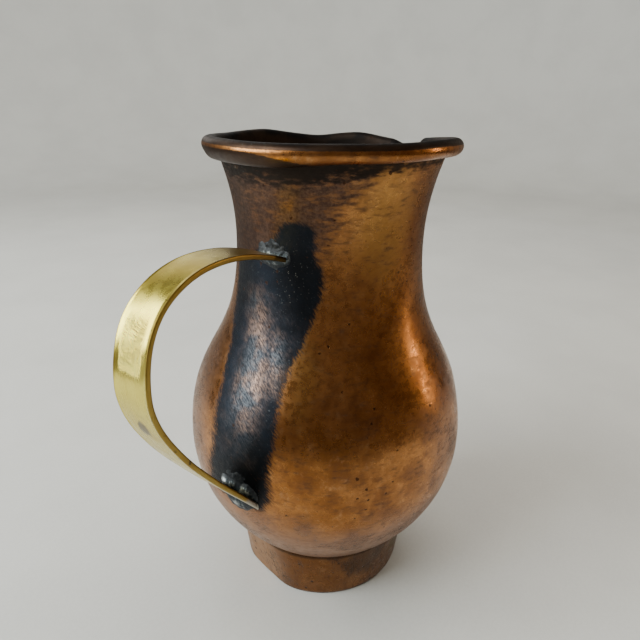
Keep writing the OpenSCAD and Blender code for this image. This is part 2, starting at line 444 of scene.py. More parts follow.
def build_body(shape, material):
    """The raised copper body with its rolled rim."""
    section, kind, about_wire = body_section(shape)
    height, turn, radius = revolve(section, BODY_COLUMNS)
    kinds = np.repeat(kind[:, None], BODY_COLUMNS, axis=1)
    about = np.repeat(about_wire[:, None], BODY_COLUMNS, axis=1)
    masks = paint_body(height / MM, turn, kinds, about)
    height, radius = lap_down(height, turn, radius, kinds, about)
    points = ring_points(height, turn, radius)
    free = smooth(0.0, 0.012, radius).ravel()
    uneven = hammered(points * np.array([1, 1, 0.8]), 0.011) * 0.6 + hammered(points, 0.03)
    out = body_shift(turn, height, shape).ravel() + uneven * shape.unevenness
    lift = (rim_lift(turn, shape) * smooth(0.116, 0.134, height)).ravel()
    squeeze = 1 + out * free / np.maximum(radius.ravel(), 0.005)
    points = points * np.stack([squeeze, squeeze, np.ones_like(squeeze)], axis=1)
    points[:, 2] += lift
    rows = len(section)
    faces = grid_faces(rows, BODY_COLUMNS)
    return make_piece("body_copper", points, faces, material, masks)


def build_wire(shape, material):
    """The iron wire inside the rolled rim. It waves as the rim does."""
    columns, steps = 180, 14
    angle = np.linspace(0, 2 * math.pi, steps, endpoint=False)
    section = bead_centre(shape) + shape.wire_radius * np.stack([np.cos(angle), np.sin(angle)], axis=1)
    height, turn, radius = revolve(section, columns)
    height = height + rim_lift(turn, shape)
    radius = radius + body_shift(turn, np.full_like(turn, section[0, 1]), shape)
    points = ring_points(height, turn, radius)
    return make_piece("rim_wire_iron", points, grid_faces(steps, columns, join_rows=True), material)


# ---------------------------------------------------------------- the foot

FOOT_COLUMNS = 240
# how softly a flat meets the round of the foot ring
FLAT_SOFTNESS = 0.0007
# flats of the foot ring: turn of its middle, share of the full depth
FOOT_FLATS = [(-12, 1.0)]


def foot_outer(turn, height, foot, top):
    """The foot ring's outer radius at turns and heights, with its flats."""
    round_radius = foot.radius + foot.spread * height / 0.01
    result = round_radius
    for centre, share in FOOT_FLATS:
        depth = foot.flat_depth * share * (1 - 0.4 * np.clip(height / top, 0, 1))
        chord = (round_radius - depth) / np.maximum(np.cos(np.radians(turn_apart(turn, centre))), 0.3)
        nearer = np.minimum(result, chord)
        result = nearer - FLAT_SOFTNESS * np.exp(-np.abs(result - chord) / FLAT_SOFTNESS) * 0.5
    return result


def foot_top(turn, shape, foot):
    """Heights at which the foot ring meets the bowl of the body, at turns."""
    low = shape.base_height + 0.001
    levels = np.linspace(low, 0.022, 60)
    wall = np.array([wall_radius(shape)(z) for z in levels])
    result = []
    for angle in turn:
        ring = foot_outer(np.full_like(levels, angle), levels, foot, 0.0168)
        result.append(np.interp(0, wall - ring, levels))
    return np.array(result)


def foot_rows(foot):
    """The foot ring's section: share of its height, and depth behind its outer face."""
    thick = foot.thickness
    bevel = thick * 0.38
    outside = [(0.0, bevel), (0.012, bevel * 0.4), (0.035, bevel * 0.08)] + [(s, 0.0) for s in
                                                                         np.linspace(0.07, 0.97, 22)]
    crown = [(1.0, thick * 0.12), (1.0, thick * 0.88)]
    inside = [(s, thick) for s in np.linspace(0.9, 0.06, 12)] + [(0.012, thick - bevel * 0.4)]
    return np.array(outside + crown + inside + [(0.0, thick - bevel)])


def build_foot(shape, foot, material):
    """The copper ring that the jug stands on."""
    turns = np.linspace(0, 360, FOOT_COLUMNS, endpoint=False)
    tops = foot_top(turns, shape, foot)
    rows = foot_rows(foot)
    share = np.repeat(rows[:, 0][:, None], FOOT_COLUMNS, axis=1)
    turn = np.repeat(turns[None, :], len(rows), axis=0)
    wave = 0.00018 * np.sin(np.radians(3 * turn + 50)) + 0.0001 * np.sin(np.radians(7 * turn))
    height = share * tops[None, :]
    outer = foot_outer(turn, height, foot, 0.0168) + wave * (0.4 + 0.6 * share)
    radius = outer - rows[:, 1][:, None]
    points = ring_points(height, turn, radius)
    bumps = hammered(points, 0.006) * 0.00010 + hammered(points, 0.017) * 0.00016
    scale = 1 + bumps * (share.ravel() > 0) / radius.ravel()
    points[:, 0] *= scale
    points[:, 1] *= scale
    side = turn_apart(turn, 0)
    masks = {
        # pale tan: partly worn copper, partly a painted reflection of the window on this side
        "tan": np.exp(-((side + 20) / 26)**2) * 0.9,
        "tarnish": np.exp(-((side - 62) / 17)**2 - ((share - 0.75) / 0.45)**2),
        "dull": np.exp(-((side - 100) / 18)**2) * smooth(0.2, 0.6, share),
        # darker at the top under the bowl and at the table: partly grime, partly painted shade
        "grime_and_shade": smooth(0.86, 0.99, share) * 0.9 + (1 - smooth(0.0, 0.08, share)) * 0.7,
        "inside": np.broadcast_to(rows[:, 1][:, None] > foot.thickness * 0.7, share.shape),
    }
    faces = grid_faces(len(rows), FOOT_COLUMNS, join_rows=True)
    return make_piece("foot_ring_copper", points, faces, material, masks)


def build_foot_solder(shape, foot, material):
    """The run of solder inside the foot ring, in the corner under the bowl."""
    columns, steps = 200, 9
    turns = np.linspace(0, 360, columns, endpoint=False)
    tops = foot_top(turns, shape, foot)
    across = np.linspace(0, 1, steps)
    wall = wall_radius(shape)
    rows = []
    for turn, top in zip(turns, tops):
        lump = 1 + 0.28 * noise.noise(around(turn, 0.02, 0) / 0.005)
        corner = foot_outer(np.array([turn]), np.array([top]), foot, 0.0168)[0] - foot.thickness
        size = 0.0029 * lump
        ring_side = np.array([corner, top - size])
        reach = corner - size
        bowl_side = np.array([reach, bowl_height(shape, wall, reach)])
        hollow = np.array([corner - 0.30 * size, top - 0.62 * size])
        face = bezier([ring_side, hollow, hollow, bowl_side], across)
        behind = np.array([[reach, bowl_side[1] + 0.0004], [corner + 0.0004, top + 0.0003],
                           [corner + 0.0004, top - size]])
        rows.append(np.concatenate([face, behind]))
    section = np.array(rows)
    turn = np.repeat(turns[None, :], section.shape[1], axis=0)
    points = ring_points(section[:, :, 1].T, turn, section[:, :, 0].T)
    faces = grid_faces(section.shape[1], columns, join_rows=True)
    return make_piece("foot_solder_run", points, faces, material)


def bowl_height(shape, wall, radius):
    """The height at which the bowl has a given outer radius."""
    levels = np.linspace(shape.base_height, shape.belly_height, 160)
    radii = np.array([wall(z) for z in levels])
    radii[0] = shape.base_radius
    return float(np.interp(radius, radii, levels))


# ---------------------------------------------------------------- the strap

# slopes and pulls of the two curves of the strap
UPPER_RISE, LOWER_SLOPE = math.radians(20.7), math.radians(53.3)
UPPER_PULL_MM, GRIP_PULL_UP_MM, GRIP_PULL_DOWN_MM, LOWER_PULL_MM = 32.0, 19.6, 14.5, 13.4
STRAP_ROWS = 200
STRAP_GAP = 0.0001


def strap_path(shape, strap):
    """The middle of the strap as distance from the axis and height, run on into the wall."""
    wall = wall_radius(shape)
    start = np.array([wall(strap.upper_joint), strap.upper_joint])
    end = np.array([wall(strap.lower_joint), strap.lower_joint])
    grip = np.array([strap.reach - strap.thickness / 2, strap.grip_height])
    rise = np.array([math.cos(UPPER_RISE), math.sin(UPPER_RISE)])
    slope = np.array([math.cos(LOWER_SLOPE), math.sin(LOWER_SLOPE)])
    upper = [start, start + UPPER_PULL_MM * MM * rise, grip + [0, GRIP_PULL_UP_MM * MM], grip]
    lower = [grip, grip - [0, GRIP_PULL_DOWN_MM * MM], end + LOWER_PULL_MM * MM * slope, end]
    spare = np.linspace(0.003, 0.0001, 30)[:, None]
    curve = np.concatenate([bezier(upper, np.linspace(0, 1, 500)), bezier(lower, np.linspace(0, 1, 500))[1:]])
    return np.concatenate([start - spare * rise, curve, end - spare[::-1] * slope])


def strap_width(height, strap):
    """The width of the strap at heights."""
    levels = [strap.lower_joint, strap.upper_joint]
    return np.interp(height, levels, [strap.bottom_width, strap.top_width])


def strap_section(thickness):
    """The strap's section: share of the half width, and distance out from its middle."""
    half = thickness / 2
    round_size = 0.32 * thickness
    corner = [(math.cos(a), math.sin(a)) for a in np.linspace(0, math.pi / 2, 5)]
    flat = np.linspace(-0.93, 0.93, 15)
    outer = [(s, half - 0.00004 * s * s) for s in flat]
    right = [(0.94 + 0.06 * c, half - round_size + round_size * s) for c, s in reversed(corner)]
    below = [(0.94 + 0.06 * c, -half + round_size - round_size * s) for c, s in corner]
    inner = [(s, -half) for s in flat[::-1]]
    left = [(-x, y) for x, y in reversed(right + below)]
    return np.array(outer + right + below + inner + left)


def build_strap(shape, strap, material):
    """The brass strap, bent round and cut at each end to the shape of the wall."""
    path = strap_path(shape, strap)
    outward = left_of(path)
    wall_heights = wall_outline(shape)
    widths = strap_width(path[:, 1], strap)
    length = np.concatenate([[0], np.cumsum(np.linalg.norm(np.diff(path, axis=0), axis=1))])
    edge = 0.00012 * np.sin(length / 0.009) + 0.00008 * np.sin(length / 0.0037 + 1)
    columns = []
    shares = []
    for share, depth in strap_section(strap.thickness):
        y = share * (widths / 2 + edge * (1 if share > 0 else -0.7))
        rail = path + depth * outward
        wall = np.interp(rail[:, 1], wall_heights[:, 1], wall_heights[:, 0]) + STRAP_GAP
        free = np.nonzero(np.hypot(rail[:, 0], y) > wall)[0]
        at = np.linspace(free[0], free[-1], STRAP_ROWS)
        index = np.arange(len(path))
        columns.append(np.stack([-np.interp(at, index, rail[:, 0]), np.interp(at, index, y),
                                 np.interp(at, index, rail[:, 1])], axis=1))
        shares.append(np.interp(at, index, length) / length[-1])
    points = np.stack(columns, axis=1)
    rows, ring = points.shape[:2]
    section = strap_section(strap.thickness)
    run = np.stack(shares, axis=1)
    masks = {
        "run": run,
        "stain": np.exp(-((points[:, :, 2] - 0.0855) / 0.0026)**2 - (points[:, :, 1] / 0.0020)**2)
        * (section[None, :, 1] >= 0),
        "edge": np.repeat((np.abs(section[:, 0]) > 0.935)[None, :], rows, axis=0),
        "across": np.repeat(section[:, 0][None, :], rows, axis=0),
        "inner": np.repeat((section[:, 1] < 0)[None, :], rows, axis=0),
    }
    flat = points.reshape(-1, 3)
    bumps = hammered(flat, 0.009) * 0.00010
    normal = np.interp(run, length / length[-1], outward[:, 0]).reshape(-1)
    up = np.interp(run, length / length[-1], outward[:, 1]).reshape(-1)
    flat[:, 0] -= bumps * normal
    flat[:, 2] += bumps * up
    faces = grid_faces(rows, ring, join_columns=True)
    faces = [face[::-1] for face in faces]
    faces.append(list(range(ring)))
    faces.append(list(range((rows - 1) * ring, rows * ring))[::-1])
    return make_piece("strap_brass", flat, faces, material, masks)


# ---------------------------------------------------------------- solder at the handle

def solder_patch(name, shape, material, centre, size, height_of, steps=(90, 90)):
    """A closed lump of solder on the wall. height_of gives its thickness at offsets across and up."""
    middle, turn_mid = centre
    wall = wall_outline(shape)
    across = np.linspace(-size[0], size[0], steps[0])
    up = np.linspace(-size[1], size[1], steps[1])
    a, u = np.meshgrid(across, up, indexing="xy")
    z = middle + u
    r = np.interp(z, wall[:, 1], wall[:, 0])
    r_mid = float(np.interp(middle, wall[:, 1], wall[:, 0]))
    slope = np.gradient(r, axis=0) / np.gradient(z, axis=0)
    tall = height_of(a, u)
    turn = turn_mid + np.degrees(a / r_mid)
    lean = 1 / np.sqrt(1 + slope**2)
    top = ring_points(z - tall * slope * lean, turn, r + tall * lean)
    under = ring_points(z, turn, r - 0.0006)
    count = a.size
    faces = [face[::-1] for face in grid_faces(steps[1], steps[0], join_columns=False)]
    bottom = [[i + count for i in face[::-1]] for face in faces]
    rim = list(range(steps[0])) + [i * steps[0] + steps[0] - 1 for i in range(1, steps[1])]
    rim += [count - 1 - i for i in range(1, steps[0])]
    rim += [(steps[1] - 1 - i) * steps[0] for i in range(1, steps[1] - 1)]
    sides = [[rim[i], rim[(i + 1) % len(rim)], rim[(i + 1) % len(rim)] + count, rim[i] + count]
             for i in range(len(rim))]
    masks = {"thick": np.concatenate([tall.ravel(), tall.ravel()]) / 0.001}
    points = np.concatenate([top, under])
    return make_piece(name, points, faces + bottom + sides, material, masks)


def lumps(a, u, size, seed):
    """Soft lumps over a patch, about -1 to 1."""
    flat = [noise.noise(Vector((x / size, y / size, seed))) for x, y in zip(a.ravel(), u.ravel())]
    return np.array(flat).reshape(a.shape)


def build_upper_solder(shape, strap, material):
    """The solder round the strap's end on the neck."""
    def thickness(a, u):
        ragged = 1 + 0.35 * lumps(a, u, 0.0035, 3.1) + 0.15 * lumps(a, u, 0.0012, 6.6)
        away = np.hypot(a / 0.0058, (u - 0.0008) / 0.0052) / ragged
        inside = 1 - smooth(0.45, 1.0, away)
        root = 0.0013 * np.exp(-(np.maximum(np.abs(a) - 0.0042, 0) / 0.0009)**2 - (u / 0.0016)**2)
        rough = 0.00020 * lumps(a, u, 0.0010, 8.2) + 0.00008 * lumps(a, u, 0.0004, 2.2)
        tip = 0.0008 * np.exp(-((a - 0.0050) / 0.0010)**2 - ((u + 0.0004) / 0.0016)**2)
        return (0.0003 + rough) * inside + 0.55 * (root + tip) - 0.0004 * smooth(0.8, 1.1, away)
    return solder_patch("solder_upper", shape, material, (strap.upper_joint, 0), (0.0082, 0.0076), thickness)


def build_lower_solder(shape, strap, material):
    """The solder that fills the wedge between the strap's lower end and the belly."""
    def thickness(a, u):
        ragged = 1 + 0.25 * lumps(a, u, 0.0040, 5.7) + 0.10 * lumps(a, u, 0.0012, 9.3)
        away = np.hypot(a / 0.0078, (u + 0.0012) / 0.0074) / ragged
        inside = 1 - smooth(0.5, 1.0, away)
        level = np.maximum(u + 0.0030, 0)
        crest = 0.0002 + 0.0011 * lumps(a, np.zeros_like(u), 0.003, 7.7)
        wedge = 0.34 * level * (1 - smooth(crest, crest + 0.0026, u))
        wedge = wedge * (1 - smooth(0.0048, 0.0070, np.abs(a) + 0.0006 * lumps(a, u, 0.002, 4.4)))
        below = 0.0006 * np.exp(-(a / 0.0042)**2 - ((u + 0.0046) / 0.0018)**2)
        rough = 0.00022 * lumps(a, u, 0.0012, 1.4) + 0.00008 * lumps(a, u, 0.0004, 3.6)
        return (0.0003 + rough) * inside + wedge + below - 0.0004 * smooth(0.8, 1.1, away)
    return solder_patch("solder_lower", shape, material, (strap.lower_joint + 0.003, 0), (0.0095, 0.0098),
                        thickness)


# ---------------------------------------------------------------- material nodes

class Tree:
    """Adds nodes to a node tree. A number or a colour given as an input goes on the socket itself."""

    def __init__(self, tree):
        self.tree = tree
        self.tree.nodes.clear()

    def add(self, kind, inputs=None, **settings):
        """A node of a kind, with its settings and what goes into its inputs."""
        node = self.tree.nodes.new(kind)
        for key, value in settings.items():
            setattr(node, key, value)
        for key, value in (inputs or {}).items():
            self.put(node.inputs[key], value)
        return node

    def put(self, socket, value):
        """A link if the value is a socket, else the value itself."""
        if isinstance(value, bpy.types.NodeSocket):
            self.tree.links.new(value, socket)
        elif socket.type == "RGBA" and len(value) == 3:
            socket.default_value = (*value, 1)
        else:
            socket.default_value = value

    def math(self, operation, a, b=0.5, clamp=False):
        """One sum of two values."""
        return self.add("ShaderNodeMath", {0: a, 1: b}, operation=operation, use_clamp=clamp).outputs[0]

    def ramp(self, value, low, high, start=0.0, end=1.0):
        """A value that goes smoothly from start to end as the input goes from low to high."""
        node = self.add("ShaderNodeMapRange", {"Value": value, "From Min": low, "From Max": high,
                                               "To Min": start, "To Max": end})
        node.interpolation_type = "SMOOTHSTEP"
        return node.outputs["Result"]

    def colour(self, share, a, b):
        """Colour a turned into b by a share."""
        node = self.add("ShaderNodeMix", data_type="RGBA")
        self.put(node.inputs[0], share)
        self.put(node.inputs[6], a)
        self.put(node.inputs[7], b)
        return node.outputs[2]

    def blend(self, share, a, b):
        """Value a turned into b by a share."""
        node = self.add("ShaderNodeMix", data_type="FLOAT")
        self.put(node.inputs[0], share)
        self.put(node.inputs[2], a)
        self.put(node.inputs[3], b)
        return node.outputs[0]

    def mask(self, name):
        """A mask painted on the piece."""
        return self.add("ShaderNodeAttribute", attribute_name=name).outputs["Fac"]

    def place(self):
        """The place on the piece, in metres."""
        return self.add("ShaderNodeTexCoord").outputs["Object"]

    def noise(self, place, scale, detail=3.0, rough=0.55, distortion=0.0):
        """Cloudy values about 0.5."""
        return self.add("ShaderNodeTexNoise", {"Vector": place, "Scale": scale, "Detail": detail,
                                               "Roughness": rough, "Distortion": distortion}).outputs["Fac"]

    def group(self, made, **inputs):
        """A shared effect, with its inputs."""
        node = self.add("ShaderNodeGroup", node_tree=made)
        for key, value in inputs.items():
            self.put(node.inputs[key.capitalize()], value)
        return node.outputs[0]


def new_group(name, inputs, output):
    """An empty shader group: its tree, its input sockets by name and a way to set its output."""
    made = bpy.data.node_groups.new(name, "ShaderNodeTree")
    for label, kind, default in inputs:
        socket = made.interface.new_socket(name=label, in_out="INPUT", socket_type=kind)
        if default is not None:
            socket.default_value = default
    made.interface.new_socket(name=output, in_out="OUTPUT", socket_type="NodeSocketFloat")
    tree = Tree(made)
    entry = tree.add("NodeGroupInput")
    leave = tree.add("NodeGroupOutput")
    return made, tree, entry.outputs, leave.inputs[0]


def brushed_group():
    """Fine brush marks. Twist leans them, in radians of turn for each metre of height."""
    made, tree, get, result = new_group("Brush marks", [
        ("Place", "NodeSocketVector", None), ("Twist", "NodeSocketFloat", 0.0),
        ("Across", "NodeSocketFloat", 60.0), ("Along", "NodeSocketFloat", 900.0)], "Mark")
    height = tree.add("ShaderNodeSeparateXYZ", {0: get["Place"]}).outputs["Z"]
    turned = tree.add("ShaderNodeVectorRotate", {
        "Vector": get["Place"], "Axis": (0, 0, 1), "Angle": tree.math("MULTIPLY", height, get["Twist"])})
    stretch = tree.add("ShaderNodeCombineXYZ", {0: get["Across"], 1: get["Across"], 2: get["Along"]})
    placed = tree.add("ShaderNodeVectorMath", {0: turned.outputs[0], 1: stretch.outputs[0]},
                      operation="MULTIPLY")
    tree.put(result, tree.noise(placed.outputs[0], 1.0, detail=4.0, rough=0.62))
    return made


def broken_group():
    """A painted mask whose soft edge is broken up by a texture about 0.5."""
    made, tree, get, result = new_group("Broken edge", [
        ("Mask", "NodeSocketFloat", 0.0), ("Texture", "NodeSocketFloat", 0.5),
        ("Breakup", "NodeSocketFloat", 0.8), ("Softness", "NodeSocketFloat", 0.2)], "Share")
    shift = tree.math("MULTIPLY", tree.math("SUBTRACT", get["Texture"], 0.5), get["Breakup"])
    level = tree.math("ADD", get["Mask"], shift)
    low = tree.math("SUBTRACT", 0.5, get["Softness"])
    high = tree.math("ADD", 0.5, get["Softness"])
    tree.put(result, tree.ramp(level, low, high))
    return made


def pits_group():
    """Small scattered pits. Share is how many of the cells hold one."""
    made, tree, get, result = new_group("Pits", [
        ("Place", "NodeSocketVector", None), ("Density", "NodeSocketFloat", 400.0),
        ("Size", "NodeSocketFloat", 0.3), ("Share", "NodeSocketFloat", 0.3)], "Pit")
    bend = tree.noise(get["Place"], 900.0, detail=2.0)
    cell = tree.add("ShaderNodeTexVoronoi", {"Vector": get["Place"], "Scale": get["Density"]})
    pick = tree.add("ShaderNodeSeparateColor", {0: cell.outputs["Color"]})
    size = tree.math("MULTIPLY", get["Size"], tree.ramp(pick.outputs["Green"], 0.0, 1.0, 0.45, 1.0))
    near = tree.math("ADD", cell.outputs["Distance"], tree.ramp(bend, 0.3, 0.7, -0.12, 0.12))
    inner = tree.math("MULTIPLY", size, 0.55)
    dot = tree.ramp(near, size, inner)
    chosen = tree.math("LESS_THAN", pick.outputs["Red"], get["Share"])
    tree.put(result, tree.math("MULTIPLY", dot, chosen))
    return made


def scratch_group():
    """Thin scratches where brush marks cross a level. Share is how much of the face they reach."""
    made, tree, get, result = new_group("Scratches", [
        ("Mark", "NodeSocketFloat", 0.5), ("Where", "NodeSocketFloat", 0.5),
        ("Width", "NodeSocketFloat", 0.02), ("Share", "NodeSocketFloat", 0.5)], "Scratch")
    off = tree.math("ABSOLUTE", tree.math("SUBTRACT", get["Mark"], 0.5))
    line = tree.ramp(off, get["Width"], 0.0)
    open_at = tree.math("SUBTRACT", 1.0, get["Share"])
    full_at = tree.math("ADD", open_at, 0.08)
    tree.put(result, tree.math("MULTIPLY", line, tree.ramp(get["Where"], open_at, full_at)))
    return made


def new_material(name):
    """A material with an empty tree and its shader."""
    made = bpy.data.materials.new(name)
    made.use_nodes = True
    tree = Tree(made.node_tree)
    shader = tree.add("ShaderNodeBsdfPrincipled")
    output = tree.add("ShaderNodeOutputMaterial")
    tree.put(output.inputs["Surface"], shader.outputs["BSDF"])
    return made, tree, shader


def finish_shader(tree, shader, colour, rough, metal, bump, depth):
    """Feeds a shader with its colour, roughness, metal share and bumps of a depth in metres."""
    tree.put(shader.inputs["Base Color"], colour)
    tree.put(shader.inputs["Roughness"], rough)
    tree.put(shader.inputs["Metallic"], metal)
    node = tree.add("ShaderNodeBump", {"Height": bump, "Distance": depth, "Strength": 1.0})
    tree.put(shader.inputs["Normal"], node.outputs["Normal"])


def aged_copper(tree, effects, colours):
    """Cloudy brown copper: its place, clouds, colour, roughness and bumps."""
    place = tree.place()
    cloud = tree.noise(place, 34.0, detail=5.0, rough=0.6, distortion=0.4)
    patch = tree.noise(place, 95.0, detail=6.0, rough=0.65)
    fine = tree.noise(place, 700.0, detail=4.0, rough=0.6)
    level = tree.group(effects["brush"], place=place, twist=0.0, across=300.0, along=950.0)
    mottle = tree.noise(place, 240.0, detail=6.0, rough=0.72)
    colour = tree.colour(tree.ramp(cloud, 0.36, 0.66), colours.deep_copper, colours.copper)
    colour = tree.colour(tree.ramp(patch, 0.44, 0.70, 0.0, 0.70), colour, (0.17, 0.062, 0.020))
    colour = tree.colour(tree.ramp(mottle, 0.48, 0.72, 0.0, 0.60), colour, (0.13, 0.050, 0.020))
    colour = tree.colour(tree.ramp(mottle, 0.46, 0.30, 0.0, 0.45), colour, (0.50, 0.27, 0.12))
    rough = tree.ramp(patch, 0.3, 0.7, 0.23, 0.35)
    return place, cloud, patch, fine, level, colour, rough


def body_material(effects, colours):
    """The finish of the raised body."""
    made, tree, shader = new_material("aged_copper_body")
    place, cloud, patch, fine, level, colour, rough = aged_copper(tree, effects, colours)
    hair = tree.group(effects["brush"], place=place, twist=26.0, across=1900.0, along=750.0)
    speck = tree.noise(place, 1300.0, detail=4.0, rough=0.7)
    # pale tan: partly worn copper, partly painted reflection of the floor and the window
    tan = tree.group(effects["broken"], mask=tree.mask("tan"), texture=patch, breakup=1.5, softness=0.42)
    colour = tree.colour(tree.math("MULTIPLY", tan, 0.6), colour, (0.31, 0.175, 0.110))
    rough = tree.blend(tan, rough, 0.36)
    # painted warm golden reflection
    golden_reflection = tree.group(effects["broken"], mask=tree.mask("golden_reflection"), texture=cloud, breakup=1.2, softness=0.4)
    colour = tree.colour(tree.math("MULTIPLY", golden_reflection, 0.6), colour, (0.46, 0.245, 0.07))

    # tarnish lies in level streaks on the neck
    streak = tree.ramp(level, 0.30, 0.70)
    cloudy_streak = tree.math("ADD", tree.math("MULTIPLY", streak, 0.55), tree.math("MULTIPLY", patch, 0.45))
    tarnish = tree.group(effects["broken"], mask=tree.mask("tarnish"), texture=cloudy_streak, breakup=1.15,
                         softness=0.55)
    both = tree.math("ADD", tree.math("MULTIPLY", patch, 0.5), tree.math("MULTIPLY", speck, 0.5))
    spotted = tree.ramp(both, 0.42, 0.60)
    tarnish_colour = tree.colour(spotted, colours.tarnish, (0.115, 0.070, 0.052))
    colour = tree.colour(tree.math("MULTIPLY", tarnish, 0.94), colour, tarnish_colour)
    rough = tree.blend(tarnish, rough, 0.44)

    # heat scale, brushed through to copper in its middle
    hatch = tree.ramp(hair, 0.34, 0.66)
    ragged = tree.math("ADD", tree.math("MULTIPLY", hatch, 0.25),
                       tree.math("ADD", tree.math("MULTIPLY", patch, 0.45),
                                 tree.math("MULTIPLY", speck, 0.30)))
    scale = tree.group(effects["broken"], mask=tree.mask("scale"), texture=ragged, breakup=1.35,
                       softness=0.34)
    mottled = tree.noise(place, 130.0, detail=4.0, rough=0.6)
    worn_level = tree.math("ADD", tree.mask("worn"), tree.ramp(cloud, 0.3, 0.7, -0.25, 0.22))
    worn = tree.group(effects["broken"], mask=worn_level, texture=patch, breakup=1.0, softness=0.42)
    blue = tree.colour(tree.ramp(patch, 0.40, 0.66), colours.soot, (0.012, 0.018, 0.028))
    grey = tree.colour(hatch, (0.014, 0.017, 0.022), (0.082, 0.089, 0.100))
    pink = tree.colour(hatch, (0.045, 0.034, 0.032), (0.28, 0.18, 0.137))
    brushed = tree.colour(tree.ramp(mottled, 0.40, 0.62), grey, pink)
    scale_colour = tree.colour(tree.math("MULTIPLY", worn, 0.92), blue, brushed)
    glint = tree.math("MULTIPLY", tree.ramp(speck, 0.60, 0.72),
                      tree.ramp(tree.mask("black"), 1.0, 0.0, 0.15, 0.55))
    scale_colour = tree.colour(glint, scale_colour, (0.10, 0.11, 0.12))
    scale_colour = tree.colour(tree.math("MULTIPLY", tree.mask("black"), 0.8), scale_colour,
                               (0.006, 0.007, 0.009))
    splash = tree.group(effects["pits"], place=place, density=2300.0, size=0.36, share=0.30)
    splash = tree.math("MULTIPLY", splash, tree.mask("splashed"))
    scale_colour = tree.colour(tree.math("MULTIPLY", splash, 0.8), scale_colour, (0.19, 0.19, 0.17))
    colour = tree.colour(scale, colour, scale_colour)
    rough = tree.blend(scale, rough, tree.blend(worn, 0.50, 0.42))
    metal = tree.blend(scale, 1.0, tree.blend(worn, 0.88, 0.95))

    # grime and painted shade under the rim, dark inside, and the curl painted near-black except where hands
    # rub it bright
    rubbed = tree.group(effects["broken"], mask=tree.mask("rubbed"), texture=ragged, breakup=0.7,
                        softness=0.25)
    grime_and_shade = tree.group(effects["broken"], mask=tree.mask("grime_and_shade"), texture=cloudy_streak, breakup=1.2,
                       softness=0.40)
    inside = tree.mask("inside")
    inner_colour = tree.colour(tree.ramp(cloud, 0.40, 0.68), (0.007, 0.005, 0.004), (0.030, 0.018, 0.012))
    colour = tree.colour(tree.math("MULTIPLY", grime_and_shade, 0.93), colour, (0.016, 0.013, 0.011))
    colour = tree.colour(inside, colour, inner_colour)
    rim_dark = tree.colour(tree.ramp(patch, 0.40, 0.65), (0.008, 0.008, 0.009), (0.034, 0.023, 0.017))
    # the curl is painted near-black except where it is rubbed bright
    darkened_rim = tree.math("SUBTRACT", tree.mask("bead"), rubbed)
    colour = tree.colour(tree.math("MULTIPLY", darkened_rim, 0.92), colour, rim_dark)
    green = tree.math("MULTIPLY", tree.ramp(speck, 0.60, 0.70),
                      tree.math("MULTIPLY", tree.mask("verdigris"), 0.8))
    colour = tree.colour(green, colour, (0.16, 0.24, 0.22))
    # grime, painted shade and the dark inside are rougher and less metallic
    dirt_and_shade = tree.math("MAXIMUM", inside, grime_and_shade)
    metal = tree.blend(dirt_and_shade, tree.blend(darkened_rim, metal, 0.9), 0.88)
    rough = tree.blend(dirt_and_shade, tree.blend(darkened_rim, rough, 0.40), 0.62)

    pit = tree.group(effects["pits"], place=place, density=520.0, size=0.30, share=0.10)
    drag = tree.group(effects["brush"], place=place, twist=-34.0, across=1500.0, along=330.0)
    scratch = tree.group(effects["scratch"], mark=drag, where=patch, width=0.06, share=0.52)
    scratch = tree.math("MULTIPLY", scratch, tree.math("MAXIMUM", tree.mask("tan"), 0.12))
    marks = tree.math("MAXIMUM", pit, scratch)
    colour = tree.colour(tree.math("MULTIPLY", marks, 0.85), colour, (0.035, 0.016, 0.010))
    rough = tree.math("ADD", rough, tree.ramp(fine, 0.3, 0.7, -0.05, 0.06))
    bump = tree.math("ADD", tree.math("MULTIPLY", fine, 0.10), tree.math("MULTIPLY", level, 0.22))
    bump = tree.math("SUBTRACT", bump, tree.math("MULTIPLY", marks, 0.8))
    bump = tree.math("ADD", bump, tree.math("MULTIPLY", tree.math("MULTIPLY", hatch, scale), 0.35))
    finish_shader(tree, shader, colour, rough, metal, bump, 0.00005)
    return made


